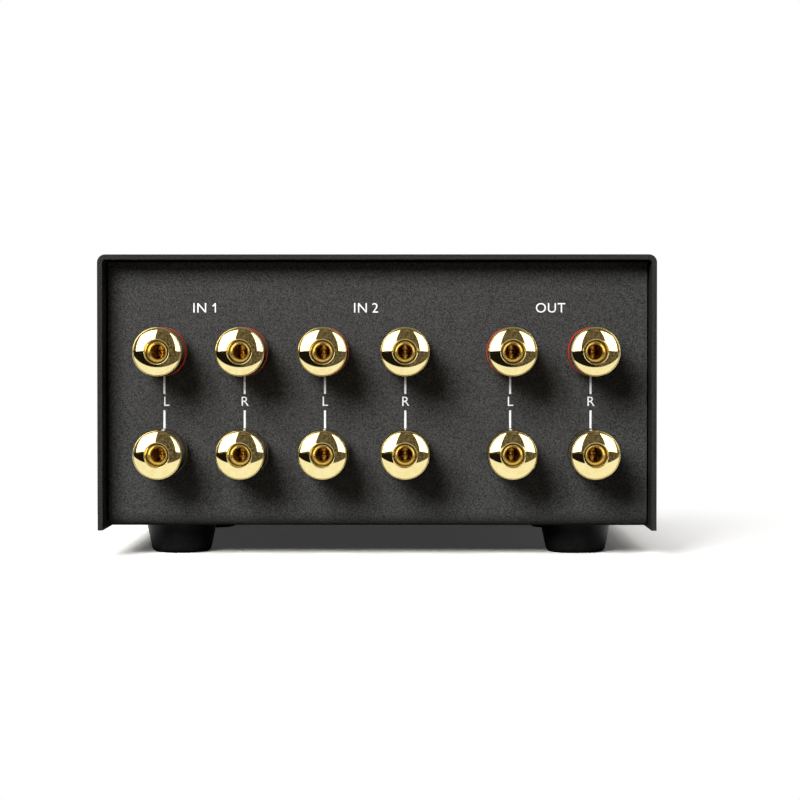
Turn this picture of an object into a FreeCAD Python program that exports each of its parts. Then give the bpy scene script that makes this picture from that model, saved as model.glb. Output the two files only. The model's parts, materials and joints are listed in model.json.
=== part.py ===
import FreeCAD, Part
import math
import os

# Speaker selector switch: a folded steel case, twelve screw-down binding posts
# on a recessed rear panel, and a three-position rotary switch worked by a knob
# on the front. Millimetres. +X to the right seen from the knob side, +Y to the
# rear (where the posts are), +Z up. The origin is on the resting surface, under
# the middle of the overall length and width.

V = FreeCAD.Vector

# ---------------------------------------------------------------- case
case_w = 165.0            # outer width of the cover
cover_h = 81.5            # outer height of the cover's sides
cover_len = 160.0         # from the fascia's back to the rear rim
sheet = 1.5               # steel sheet of the cover and the chassis
bend_r = 2.4              # outside radius of every fold
recess = 9.8              # rear panel behind the rim
panel_gap = 0.5           # chassis to cover, at each side and at the top
cover_drop = 0.7          # cover sides below the chassis floor
fascia_t = 6.0            # front plate
fascia_chamfer = 0.8
fascia_bore_r = 9.0       # clears the bushing nut

# ---------------------------------------------------------------- fits
run_fit = 0.05            # radial, a part that turns or slides in another
thread_fit = 0.05         # radial, screw in its tapped hole
hole_fit = 0.15           # radial, screw through a clearance hole
thrust_gap = 0.05         # axial, between faces that turn on each other

# ---------------------------------------------------------------- feet
foot_h = 9.2
foot_top_r = 10.75
foot_low_r = 8.85
foot_edge_r = 1.5
foot_well_r = 5.0
foot_well_h = 4.5
foot_side = 22.0          # from the cover's sides to the feet's axes
foot_inset = 21.5         # from the front and rear walls to the feet's axes
foot_washer_r = 4.7
foot_washer_t = 0.8
foot_screw_r = 2.0
foot_head_r = 3.5
foot_head_h = 2.3
foot_nut_af = 7.0
foot_nut_t = 3.2
screw_end = 1.0           # thread that stands out of a nut

# ---------------------------------------------------------------- case screws
m3_r = 1.5
m3_head_r = 2.75
m3_head_h = 1.7
m3_drive_r = 1.2          # recess in the head
m3_drive_h = 0.9
tab_w = 14.0              # folded tabs that take the cover screws
tab_h = 13.0
tab_pitch = 92.0
relief_w = 1.2            # notches beside each tab
relief_depth = 3.4
tab_hole_z = 7.6          # above the chassis floor's underside
cover_screw_l = 5.0
fascia_screw_side = 16.5  # from the fascia's ends
fascia_screw_z = 28.0
fascia_screw_l = 5.5
fascia_tap_depth = 4.6

# ---------------------------------------------------------------- binding posts
post_edge_x = 63.65       # outermost posts from the middle
post_pitch = 24.0
row_gap = 30.0            # lower row to upper row
row_drop = 2.95           # middle of the two rows below the middle of the case
stud_r = 3.0
stud_end = 20.3           # stud's end from the rear panel
socket_r = 2.0            # plug socket in the stud
socket_lead = 0.7         # countersink at its mouth, as wide as deep
wire_hole_r = 2.0         # cross hole for bare wire
wire_hole_lift = 0.3      # cross hole above the flange
drill_point = 59.0        # half angle of the drill's point, degrees
drill_over = 0.4          # point past the cross hole's far wall
insulator_r = 7.0
insulator_t = 3.0
shoulder_r = 4.0
flange_r = 7.3            # stud's flange on the insulator
flange_t = 2.5
ring_r = 7.45
ring_t = 3.0
cap_r = 7.25
cap_len = 13.45
cap_rim = 0.45            # fluted barrel beyond the dome
dome_r = 11.0             # ball whose centre is on the cap's axis
mouth_flare = 0.72        # countersink round the socket
mouth_depth = 1.1
flutes = 32
flute_depth = 0.2
thread_pitch = 1.0
turns_in = 1.0            # turns from rest to screwed down
closed_gap = 0.3          # ring to flange when screwed down
post_nut_af = 10.0
post_nut_t = 3.2

# ---------------------------------------------------------------- terminal board
board_t = 1.6
board_margin_x = 9.0      # beyond the outermost posts
board_margin_z = 11.0     # beyond the rows

# ---------------------------------------------------------------- rotary switch
switch_lift = 6.0         # base off the terminal board
base_r = 13.0
base_t = 3.5
housing_wall = 1.5
housing_len = 7.5
housing_roof = 2.0
nose_r = 4.5
nose_len = 4.0
poles = 4
steps = 12
step_angle = 360.0 / steps
pin_circle_r = 7.5
pin_w = 1.0
pin_tail = 1.2            # past the board's rear side stops inside it
common_r = 4.1
common_w = 1.4
common_sweep = 70.0
stud_lift = 0.5           # fixed contacts above the base
blade_t = 0.4
blade_w = 1.6
blade_in = 3.6
blade_out = 8.2
rotor_r = 10.5
rotor_t = 2.2
wheel_r = 8.2
wheel_t = 2.0
notch_r = 1.5
notch_circle = 8.9
nose_gap = 0.1            # detent nose in its notch
leaf_t = 0.3
leaf_z = 9.4
leaf_w = 1.6
arm_w = 1.6
arm_t = 1.2
arm_r = 10.8
arm_root_r = 5.0
peg_r = 0.8
peg_circle = 9.5
peg_clear = 1.0           # degrees past the last position
peg_gap = 0.2             # peg's tip to the detent wheel
spacer_r = 6.3
spacer_wall = 1.3
pivot_r = 2.0
pivot_len = 2.4
pivot_floor = 1.0

# ---------------------------------------------------------------- drive line
rod_r = 3.0
flat_depth = 0.6          # flat on the rod and the spindle
coupler_r = 6.0
coupler_len = 16.0
coupler_stand = 3.0       # coupler in front of the switch's nose
rod_gap = 0.5             # between rod and spindle inside the coupler
grub_r = 1.5
grub_offset = 4.5
grub_sink = 0.3
bushing_r = 4.5
bushing_flange_r = 7.0
bushing_flange_t = 2.0
bushing_end = 0.8         # thread that stands out of the nut
bushing_washer_r = 8.0
bushing_washer_t = 0.5
bushing_nut_af = 13.0
bushing_nut_t = 2.5

# ---------------------------------------------------------------- knob
knob_r = 19.0
knob_len = 19.0
knob_gap = 1.0            # knob's back to the fascia
knob_chamfer = 1.2
knob_skirt = 3.0          # plain band at the back
knob_flutes = 36
knob_flute_depth = 0.5
dish_r = 14.5
dish_depth = 0.6
knob_bore_len = 13.0
pointer_w = 1.5
pointer_t = 0.9
pointer_in = 5.0
knob_screw_r = 2.0
knob_screw_l = 8.0
knob_screw_back = 6.5     # from the knob's back

# ---------------------------------------------------------------- derived places
ring_back = insulator_t + flange_t + closed_gap + turns_in * thread_pitch
cap_back = ring_back + ring_t + thrust_gap
cap_front = cap_back + cap_len
front_reach = knob_gap + knob_len
rear_reach = cap_front - recess
total_y = front_reach + fascia_t + cover_len + rear_reach

y_knob = -total_y / 2
y_fascia = y_knob + front_reach
y_wall = y_fascia + fascia_t          # front of the chassis
y_rim = y_wall + cover_len
y_panel = y_rim - recess              # outside of the rear panel
y_board = y_panel - sheet - board_t   # front of the terminal board
y_base = y_board - switch_lift        # rear of the switch base
y_contact = y_base - base_t
y_roof = y_contact - housing_len
y_nose = y_roof - housing_roof - nose_len

z_floor = foot_h                      # underside of the chassis
z_cover = z_floor - cover_drop
z_top = z_cover + cover_h
z_axis = (z_cover + z_top) / 2        # knob's and switch's axis
chassis_w = case_w - 2 * (sheet + panel_gap)
chassis_top = z_top - sheet - panel_gap
inner_r = max(bend_r - sheet, 0.1)

channels = {
    "in1_left": post_edge_x,
    "in1_right": post_edge_x - post_pitch,
    "in2_left": post_edge_x - 2 * post_pitch,
    "in2_right": post_edge_x - 3 * post_pitch,
    "out_left": -post_edge_x + post_pitch,
    "out_right": -post_edge_x,
}
row_middle = z_axis - row_drop
rows = {"red": row_middle + row_gap / 2, "black": row_middle - row_gap / 2}
posts = [(f"{channel}_{colour}", x, z)
         for channel, x in channels.items() for colour, z in rows.items()]
foot_x = case_w / 2 - foot_side
feet = {
    "front_left": (-foot_x, y_wall + foot_inset),
    "front_right": (foot_x, y_wall + foot_inset),
    "rear_left": (-foot_x, y_panel - foot_inset),
    "rear_right": (foot_x, y_panel - foot_inset),
}


# ---------------------------------------------------------------- shape helpers
def box(x0, x1, y0, y1, z0, z1):
    return Part.makeBox(x1 - x0, y1 - y0, z1 - z0, V(x0, y0, z0))


def rod_y(radius, y0, y1, x=0.0, z=0.0):
    return Part.makeCylinder(radius, y1 - y0, V(x, y0, z), V(0, 1, 0))


def rod_x(radius, x0, x1, y, z):
    return Part.makeCylinder(radius, x1 - x0, V(x0, y, z), V(1, 0, 0))


def rod_z(radius, z0, z1, x, y):
    return Part.makeCylinder(radius, z1 - z0, V(x, y, z0), V(0, 0, 1))


def tube_y(outer, inner, y0, y1, x=0.0, z=0.0):
    return rod_y(outer, y0, y1, x, z).cut(rod_y(inner, y0, y1, x, z))


def turned(outline, x=0.0, z=0.0):
    """Solid of revolution about Y: points (radius, y), or (r, y, r, y) for an
    arc through its middle to its end."""
    last = V(outline[0][0], outline[0][1], 0)
    edges = []
    for item in outline[1:] + outline[:1]:
        end = V(item[-2], item[-1], 0)
        if len(item) == 4:
            edges.append(Part.Arc(last, V(item[0], item[1], 0), end).toShape())
        else:
            edges.append(Part.LineSegment(last, end).toShape())
        last = end
    face = Part.Face(Part.Wire(edges))
    solid = face.revolve(V(0, 0, 0), V(0, 1, 0), 360)
    solid.translate(V(x, 0, z))
    return solid


def prism_y(corners, y0, y1, x=0.0, z=0.0):
    """Straight prism along Y over a closed (x, z) polygon."""
    points = [V(x + px, y0, z + pz) for px, pz in corners]
    face = Part.Face(Part.makePolygon(points + points[:1]))
    return face.extrude(V(0, y1 - y0, 0))


def star(radius, depth, count):
    """Corners of a fluted round: outer and inner points in turn."""
    corners = []
    for k in range(2 * count):
        reach = radius - depth * (k % 2)
        angle = math.pi * k / count
        corners.append((reach * math.cos(angle), reach * math.sin(angle)))
    return corners


def hexagon(across_flats):
    reach = across_flats / math.sqrt(3)
    return [(reach * math.cos(math.radians(60 * k)), reach * math.sin(math.radians(60 * k)))
            for k in range(6)]


def edges_at(shape, test):
    """Straight edges whose middle point passes the test."""
    found = []
    for edge in shape.Edges:
        middle = edge.valueAt((edge.FirstParameter + edge.LastParameter) / 2)
        if edge.Curve.TypeId == "Part::GeomLine" and test(middle, edge):
            found.append(edge)
    return found


def near(a, b):
    return abs(a - b) < 1e-4


def turn_y(shape, degrees, x=0.0, z=0.0):
    copy = shape.copy()
    copy.rotate(V(x, 0, z), V(0, 1, 0), degrees)
    return copy


def save(name, *solids):
    shape = solids[0] if len(solids) == 1 else Part.makeCompound(list(solids))
    shape.exportStep(f"parts/{name}.step")


# ---------------------------------------------------------------- case parts
def folded_u(x0, x1, y0, y1, z0, z1, folds, radius):
    """Block with its fold edges rounded, as the outside or inside of a U."""
    block = box(x0, x1, y0, y1, z0, z1)
    return block.makeFillet(radius, edges_at(block, folds))


def top_cover():
    half = case_w / 2
    outside = folded_u(-half, half, y_wall, y_rim, z_cover, z_top,
                       lambda p, e: near(abs(p.x), half) and near(p.z, z_top)
                       and near(abs(e.tangentAt(e.FirstParameter).y), 1), bend_r)
    wall = half - sheet
    roof = z_top - sheet
    inside = folded_u(-wall, wall, y_wall - 1, y_rim + 1, z_cover - 1, roof,
                      lambda p, e: near(abs(p.x), wall) and near(p.z, roof)
                      and near(abs(e.tangentAt(e.FirstParameter).y), 1), inner_r)
    cover = outside.cut(inside)
    for y in tab_places():
        cover = cover.cut(rod_x(m3_r + hole_fit, -half - 1, half + 1, y, z_floor + tab_hole_z))
    return cover


def tab_places():
    middle = (y_wall + y_panel) / 2
    return [middle - tab_pitch / 2, middle + tab_pitch / 2]


def chassis():
    half = chassis_w / 2
    outside = folded_u(-half, half, y_wall, y_panel, z_floor, chassis_top,
                       lambda p, e: near(p.z, z_floor) and near(p.x, 0), bend_r)
    y0, y1, z0 = y_wall + sheet, y_panel - sheet, z_floor + sheet
    inside = folded_u(-half - 1, half + 1, y0, y1, z0, chassis_top + 1,
                      lambda p, e: near(p.z, z0) and near(p.x, 0), inner_r)
    body = outside.cut(inside)
    for y in tab_places():
        for side in (-1, 1):
            x0, x1 = sorted((side * half, side * (half - sheet)))
            body = body.fuse(box(x0, x1, y - tab_w / 2, y + tab_w / 2, z_floor, z_floor + tab_h))
            x0, x1 = sorted((side * (half + 1), side * (half - relief_depth)))
            for y0 in (y - tab_w / 2 - relief_w, y + tab_w / 2):
                body = body.cut(box(x0, x1, y0, y0 + relief_w, z_floor - 1, z_floor + tab_h))
    body = body.removeSplitter()
    for radius, x, z in ((bend_r, half, z_floor), (inner_r, half - sheet, z_floor + sheet)):
        folds = edges_at(body, lambda p, e: near(abs(p.x), x) and near(p.z, z)
                         and near(e.Length, tab_w))
        body = body.makeFillet(radius, folds)
    for y in tab_places():
        body = body.cut(rod_x(m3_r + thread_fit, -half - 1, half + 1, y, z_floor + tab_hole_z))
    for name, x, z in posts:
        body = body.cut(rod_y(shoulder_r + hole_fit, y_panel - 2 * sheet, y_panel + 1, x, z))
    for x, y in feet.values():
        body = body.cut(rod_z(foot_screw_r + hole_fit, z_floor - 1, z_floor + 2 * sheet, x, y))
    body = body.cut(rod_y(bushing_r + hole_fit, y_wall - 1, y_wall + 2 * sheet, 0, z_axis))
    for x, z in fascia_screw_places():
        body = body.cut(rod_y(m3_r + hole_fit, y_wall - 1, y_wall + 2 * sheet, x, z))
    return body


def fascia_screw_places():
    reach = case_w / 2 - fascia_screw_side
    return [(sx * reach, z_axis + sz * fascia_screw_z)
            for sx in (-1, 1) for sz in (-1, 1)]


def front_fascia():
    half = case_w / 2
    plate = box(-half, half, y_fascia, y_wall, z_cover, z_top)
    plate = plate.makeFillet(bend_r, edges_at(plate, lambda p, e: near(e.Length, fascia_t)))
    front = [e for e in plate.Edges if all(near(v.Y, y_fascia) for v in e.Vertexes)]
    plate = plate.makeChamfer(fascia_chamfer, front)
    plate = plate.cut(rod_y(fascia_bore_r, y_fascia - 1, y_wall + 1, 0, z_axis))
    for x, z in fascia_screw_places():
        plate = plate.cut(rod_y(m3_r + thread_fit, y_wall - fascia_tap_depth, y_wall + 1, x, z))
    return plate


def pan_screw(length):
    """M3 screw along +Z with its head's seat at the origin."""
    head = Part.makeCylinder(m3_head_r, m3_head_h, V(0, 0, -m3_head_h))
    drive = prism_z(hexagon(2 * m3_drive_r), -m3_head_h - 1, -m3_head_h + m3_drive_h)
    return head.fuse(Part.makeCylinder(m3_r, length)).removeSplitter().cut(drive)


def prism_z(corners, z0, z1, x=0.0, y=0.0):
    points = [V(x + px, y + py, z0) for px, py in corners]
    face = Part.Face(Part.makePolygon(points + points[:1]))
    return face.extrude(V(0, 0, z1 - z0))


def aimed(shape, direction, place):
    """Copy of a shape made along +Z, turned to a direction and moved."""
    copy = shape.copy()
    copy.Placement = FreeCAD.Placement(place, FreeCAD.Rotation(V(0, 0, 1), direction))
    return copy


def cover_screws():
    screw = pan_screw(cover_screw_l)
    return [aimed(screw, V(-side, 0, 0), V(side * case_w / 2, y, z_floor + tab_hole_z))
            for y in tab_places() for side in (-1, 1)]


def fascia_screws():
    screw = pan_screw(fascia_screw_l)
    return [aimed(screw, V(0, -1, 0), V(x, y_wall + sheet, z)) for x, z in fascia_screw_places()]


# ---------------------------------------------------------------- feet
def foot(x, y):
    """Tapered rubber foot with a well for its screw."""
    body = Part.makeCone(foot_low_r, foot_top_r, foot_h, V(x, y, 0))
    low = [e for e in body.Edges if all(near(v.Z, 0) for v in e.Vertexes)]
    body = body.makeFillet(foot_edge_r, low)
    body = body.cut(rod_z(foot_well_r, -1, foot_well_h, x, y))
    return body.cut(rod_z(foot_screw_r + hole_fit, 0, foot_h + 1, x, y))


def foot_washer(x, y):
    z0 = foot_well_h - foot_washer_t
    return rod_z(foot_washer_r, z0, foot_well_h, x, y).cut(
        rod_z(foot_screw_r + hole_fit, z0, foot_well_h, x, y))


def foot_screw(x, y):
    z0 = foot_well_h - foot_washer_t
    z1 = z_floor + sheet + foot_nut_t + screw_end
    head = rod_z(foot_head_r, z0 - foot_head_h, z0, x, y)
    drive = prism_z(hexagon(foot_screw_r * 2), z0 - foot_head_h - 1, z0 - foot_head_h / 2, x, y)
    return head.fuse(rod_z(foot_screw_r, z0, z1, x, y)).removeSplitter().cut(drive)


def foot_nut(x, y):
    z0 = z_floor + sheet
    return prism_z(hexagon(foot_nut_af), z0, z0 + foot_nut_t, x, y).cut(
        rod_z(foot_screw_r + thread_fit, z0, z0 + foot_nut_t, x, y))


# ---------------------------------------------------------------- binding posts
def post_stud(x, z):
    """Threaded stud: flange, cross hole for wire, socket down its middle."""
    tail_y = y_board - post_nut_t - screw_end
    back_y = y_panel + insulator_t
    front_y = back_y + flange_t
    end_y = y_panel + stud_end
    stud = turned([(0, tail_y), (stud_r, tail_y), (stud_r, back_y), (flange_r, back_y),
                   (flange_r, front_y), (stud_r, front_y), (stud_r, end_y), (0, end_y)], x, z)
    hole_y = front_y + wire_hole_lift + wire_hole_r
    tip_y = hole_y - wire_hole_r - drill_over
    drill_y = tip_y + socket_r / math.tan(math.radians(drill_point))
    drill = turned([(0, tip_y), (socket_r, drill_y), (socket_r, end_y - socket_lead),
                    (socket_r + socket_lead, end_y), (socket_r + socket_lead, end_y + 1),
                    (0, end_y + 1)], x, z)
    cross = rod_z(wire_hole_r, z - 2 * stud_r, z + 2 * stud_r, x, hole_y)
    return stud.cut(drill).cut(cross)


def post_insulator(x, z):
    """Shouldered bush: flange outside the panel, shoulder through it."""
    bore = stud_r + run_fit
    return turned([(bore, y_panel - sheet), (shoulder_r, y_panel - sheet), (shoulder_r, y_panel),
                   (insulator_r, y_panel), (insulator_r, y_panel + insulator_t),
                   (bore, y_panel + insulator_t)], x, z)


def post_nut(x, z):
    y0 = y_board - post_nut_t
    return prism_y(hexagon(post_nut_af), y0, y_board, x, z).cut(
        rod_y(stud_r + thread_fit, y0, y_board, x, z))


def post_ring(x, z):
    y0 = y_panel + ring_back
    return tube_y(ring_r, stud_r + 2 * run_fit, y0, y0 + ring_t, x, z)


def post_cap(x, z):
    """Screw cap: fluted barrel, domed front and a countersunk mouth."""
    y0, y1 = y_panel + cap_back, y_panel + cap_front
    bore = stud_r + run_fit
    edge_r, mouth_r = cap_r - cap_rim, bore + mouth_flare
    mid_r = (edge_r + mouth_r) / 2
    centre_y = y1 - math.sqrt(dome_r ** 2 - mouth_r ** 2)
    mid_y = centre_y + math.sqrt(dome_r ** 2 - mid_r ** 2)
    shoulder = centre_y + math.sqrt(dome_r ** 2 - edge_r ** 2)
    barrel = prism_y(star(cap_r, flute_depth, flutes), y0, shoulder, x, z)
    dome = turned([(0, y0), (mouth_r, y0), (edge_r, y0), (edge_r, shoulder),
                   (mid_r, mid_y, mouth_r, y1), (0, y1)], x, z)
    hole = turned([(0, y0 - 1), (bore, y0 - 1), (bore, y1 - mouth_depth), (mouth_r, y1),
                   (mouth_r, y1 + 1), (0, y1 + 1)], x, z)
    return barrel.fuse(dome).removeSplitter().cut(hole)


# ---------------------------------------------------------------- terminal board and switch
def pin(radius, degrees, y0, y1):
    block = box(radius - pin_w / 2, radius + pin_w / 2, y0, y1,
                z_axis - pin_w / 2, z_axis + pin_w / 2)
    return turn_y(block, -degrees, 0, z_axis)


def sector(inner, outer, sweep, y0, y1):
    """Ring piece about the switch axis, centred on +X."""
    ring = tube_y(outer, inner, y0, y1, 0, z_axis)
    reach = 2 * outer
    half = math.radians(sweep / 2)
    wedge = prism_y([(0, 0), (reach * math.cos(half), -reach * math.sin(half)),
                     (reach * math.cos(half), reach * math.sin(half))], y0, y1, 0, z_axis)
    return ring.common(wedge)


def switch_terminals():
    """Twelve position pins and four commons, all soldered in the board."""
    y_tail, y_head = y_board + pin_tail, y_contact - stud_lift
    pins = [pin(pin_circle_r, step_angle * k, y_head, y_tail) for k in range(steps)]
    for k in range(poles):
        angle = 360.0 / poles * k
        stem = pin(common_r, angle, y_head, y_tail)
        segment = sector(common_r - common_w / 2, common_r + common_w / 2, common_sweep,
                         y_head, y_contact)
        pins.append(stem.fuse(turn_y(segment, -angle, 0, z_axis)).removeSplitter())
    return pins


def terminal_board(pins):
    half = post_edge_x + board_margin_x
    board = box(-half, half, y_board, y_board + board_t,
                rows["black"] - board_margin_z, rows["red"] + board_margin_z)
    for name, x, z in posts:
        board = board.cut(rod_y(stud_r + hole_fit, y_board - 1, y_board + board_t + 1, x, z))
    return board.cut(Part.makeCompound(pins))


def switch_base(pins):
    base = rod_y(base_r, y_contact, y_base, 0, z_axis)
    socket = rod_y(pivot_r + run_fit, y_contact - 1, y_contact + pivot_len, 0, z_axis)
    return base.cut(socket).cut(Part.makeCompound(pins))


def switch_spacer():
    return tube_y(spacer_r, spacer_r - spacer_wall, y_base, y_board, 0, z_axis)


def switch_housing():
    """Cup over the rotor with the shaft's bearing nose and two stop pegs."""
    inner = base_r - housing_wall
    bore = rod_r + run_fit
    cup = turned([(inner, y_contact), (base_r, y_contact), (base_r, y_roof - housing_roof),
                  (nose_r, y_roof - housing_roof), (nose_r, y_nose), (bore, y_nose),
                  (bore, y_roof), (inner, y_roof)], 0, z_axis)
    spread = step_angle + peg_clear + math.degrees((arm_w / 2 + peg_r) / peg_circle)
    for side in (-1, 1):
        angle = math.radians(-90 + side * spread)
        x, z = peg_circle * math.cos(angle), z_axis + peg_circle * math.sin(angle)
        cup = cup.fuse(rod_y(peg_r, y_roof - housing_roof / 2, y_wheel() - peg_gap, x, z))
    return cup.removeSplitter()


def y_rotor():
    return y_contact - stud_lift - thrust_gap - blade_t


def y_wheel():
    return y_rotor() - rotor_t - wheel_t


def switch_spindle():
    """Spindle with a flat for rotor and wheel, and a pivot in the base."""
    y_front = y_nose - coupler_stand - coupler_len / 2 + rod_gap / 2
    shaft = rod_y(rod_r, y_front, y_rotor(), 0, z_axis)
    flat = box(-rod_r, rod_r, y_wheel(), y_rotor(), z_axis + rod_r - flat_depth, z_axis + 2 * rod_r)
    pivot = rod_y(pivot_r, y_rotor(), y_contact + pivot_len - pivot_floor, 0, z_axis)
    return shaft.cut(flat).fuse(pivot).removeSplitter()


def rotor_contacts():
    y0 = y_rotor()
    blade = box(blade_in, blade_out, y0, y0 + blade_t, z_axis - blade_w / 2, z_axis + blade_w / 2)
    return [turn_y(blade, 360.0 / poles * k, 0, z_axis) for k in range(poles)]


def switch_rotor(spindle):
    return rod_y(rotor_r, y_rotor() - rotor_t, y_rotor(), 0, z_axis).cut(spindle)


def detent_wheel(spindle):
    """Wheel with a notch for each step, and the arm that meets the stops."""
    y0, y1 = y_wheel(), y_rotor() - rotor_t
    wheel = rod_y(wheel_r, y0, y1, 0, z_axis)
    for k in range(steps):
        angle = math.radians(90 + step_angle * k)
        wheel = wheel.cut(rod_y(notch_r, y0 - 1, y1 + 1, notch_circle * math.cos(angle),
                                z_axis + notch_circle * math.sin(angle)))
    arm = box(-arm_w / 2, arm_w / 2, y0 - arm_t, y0, z_axis - arm_r, z_axis - arm_root_r)
    arm = arm.fuse(tube_y(arm_root_r + arm_w / 2, rod_r, y0 - arm_t, y0, 0, z_axis))
    return wheel.fuse(arm).removeSplitter().cut(spindle)


def detent_spring():
    """Leaf spring across the housing with a nose in the wheel's top notch."""
    middle = (y_wheel() + y_rotor() - rotor_t) / 2
    y0, y1 = middle - leaf_w / 2, middle + leaf_w / 2
    top = leaf_z + leaf_t
    reach = math.sqrt((base_r - housing_wall - run_fit) ** 2 - top ** 2)
    leaf = box(-reach, reach, y0, y1, z_axis + leaf_z, z_axis + top)
    nose = rod_y(notch_r - nose_gap, y0, y1, 0, z_axis + notch_circle)
    above = box(-notch_r, notch_r, y0, y1, z_axis + top, z_axis + top + 2 * notch_r)
    return leaf.fuse(nose.cut(above)).removeSplitter()


# ---------------------------------------------------------------- drive line
def y_coupler():
    return y_nose - coupler_stand - coupler_len / 2


def drive_rod():
    """Long rod from the knob to the coupler, with a flat inside the knob."""
    y0 = y_fascia - knob_gap - knob_bore_len
    y1 = y_coupler() - rod_gap / 2
    rod = rod_y(rod_r, y0, y1, 0, z_axis)
    flat = box(-rod_r, rod_r, y0 - 1, y_fascia - knob_gap, z_axis - 2 * rod_r,
               z_axis - rod_r + flat_depth)
    return rod.cut(flat)


def shaft_coupler():
    half = coupler_len / 2
    body = tube_y(coupler_r, rod_r + run_fit, y_coupler() - half, y_coupler() + half, 0, z_axis)
    for side in (-1, 1):
        body = body.cut(rod_z(grub_r + thread_fit, z_axis, z_axis + 2 * coupler_r, 0,
                              y_coupler() + side * grub_offset))
    return body


def coupler_screws():
    return [rod_z(grub_r, z_axis + rod_r, z_axis + coupler_r - grub_sink, 0,
                  y_coupler() + side * grub_offset) for side in (-1, 1)]


def front_bushing():
    """Bearing for the rod: flange behind the front wall, thread through it."""
    y_flange = y_wall + sheet + bushing_flange_t
    y_end = y_wall - bushing_washer_t - bushing_nut_t - bushing_end
    bore = rod_r + run_fit
    return turned([(bore, y_flange), (bushing_flange_r, y_flange),
                   (bushing_flange_r, y_wall + sheet), (bushing_r, y_wall + sheet),
                   (bushing_r, y_end), (bore, y_end)], 0, z_axis)


def bushing_washer():
    return tube_y(bushing_washer_r, bushing_r + hole_fit, y_wall - bushing_washer_t, y_wall,
                  0, z_axis)


def bushing_nut():
    y1 = y_wall - bushing_washer_t
    y0 = y1 - bushing_nut_t
    return prism_y(hexagon(bushing_nut_af), y0, y1, 0, z_axis).cut(
        rod_y(bushing_r + thread_fit, y0, y1, 0, z_axis))


# ---------------------------------------------------------------- knob
def selector_knob():
    """Turned knob: plain skirt, fluted grip, chamfered and dished front."""
    back, front = y_fascia - knob_gap, y_fascia - knob_gap - knob_len
    grip = prism_y(star(knob_r, knob_flute_depth, knob_flutes), front, back - knob_skirt, 0, z_axis)
    crown = turned([(0, front), (knob_r - knob_chamfer, front), (knob_r, front + knob_chamfer),
                    (knob_r, back), (0, back)], 0, z_axis)
    knob = crown.common(grip.fuse(rod_y(knob_r, back - knob_skirt, back, 0, z_axis)))
    knob = knob.removeSplitter()
    dish = rod_y(dish_r, front - 1, front + dish_depth, 0, z_axis)
    bore = rod_y(rod_r + run_fit, back - knob_bore_len, back + 1, 0, z_axis)
    screw_y = back - knob_screw_back
    side_hole = rod_z(knob_screw_r + thread_fit, z_axis - 2 * knob_r, z_axis, 0, screw_y)
    return knob.cut(dish).cut(bore).cut(side_hole).cut(knob_pointer())


def knob_pointer():
    front = y_fascia - knob_gap - knob_len
    return box(-pointer_w / 2, pointer_w / 2, front + dish_depth, front + dish_depth + pointer_t,
               z_axis + pointer_in, z_axis + dish_r)


def knob_set_screw():
    y = y_fascia - knob_gap - knob_screw_back
    z1 = z_axis - rod_r + flat_depth
    return rod_z(knob_screw_r, z1 - knob_screw_l, z1, 0, y)


# ---------------------------------------------------------------- write the files
os.makedirs("parts", exist_ok=True)

save("top_cover", top_cover())
save("chassis", chassis())
save("front_fascia", front_fascia())
save("cover_screws", *cover_screws())
save("fascia_screws", *fascia_screws())

for name, place in feet.items():
    save(f"foot_{name}", foot(*place))
save("foot_washers", *[foot_washer(*place) for place in feet.values()])
save("foot_screws", *[foot_screw(*place) for place in feet.values()])
save("foot_nuts", *[foot_nut(*place) for place in feet.values()])

save("post_studs", *[post_stud(x, z) for name, x, z in posts])
save("post_insulators", *[post_insulator(x, z) for name, x, z in posts])
save("post_nuts", *[post_nut(x, z) for name, x, z in posts])
for name, x, z in posts:
    save(f"ring_{name}", post_ring(x, z))
    save(f"cap_{name}", post_cap(x, z))

terminals = switch_terminals()
spindle_solid = switch_spindle()
save("terminal_board", terminal_board(terminals))
save("switch_terminals", *terminals)
save("switch_base", switch_base(terminals))
save("switch_spacer", switch_spacer())
save("switch_housing", switch_housing())
save("detent_spring", detent_spring())
save("detent_wheel", detent_wheel(spindle_solid))
save("switch_rotor", switch_rotor(spindle_solid))
save("rotor_contacts", *rotor_contacts())
save("switch_spindle", spindle_solid)

save("drive_rod", drive_rod())
save("shaft_coupler", shaft_coupler())
save("coupler_screws", *coupler_screws())
save("front_bushing", front_bushing())
save("bushing_washer", bushing_washer())
save("bushing_nut", bushing_nut())
save("selector_knob", selector_knob())
save("knob_pointer", knob_pointer())
save("knob_set_screw", knob_set_screw())

print("overall length", round(total_y, 3), "height", round(z_top, 3), "width", case_w)
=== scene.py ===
# %% [markdown]
# # A speaker selector switch
#
# A black steel case with twelve gold screw posts on its back and one knob on
# its front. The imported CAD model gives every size. This lesson adds what a
# maker would add last: soft edges, fluted gold, powder coat, printed marks.

import json
import math

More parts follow.
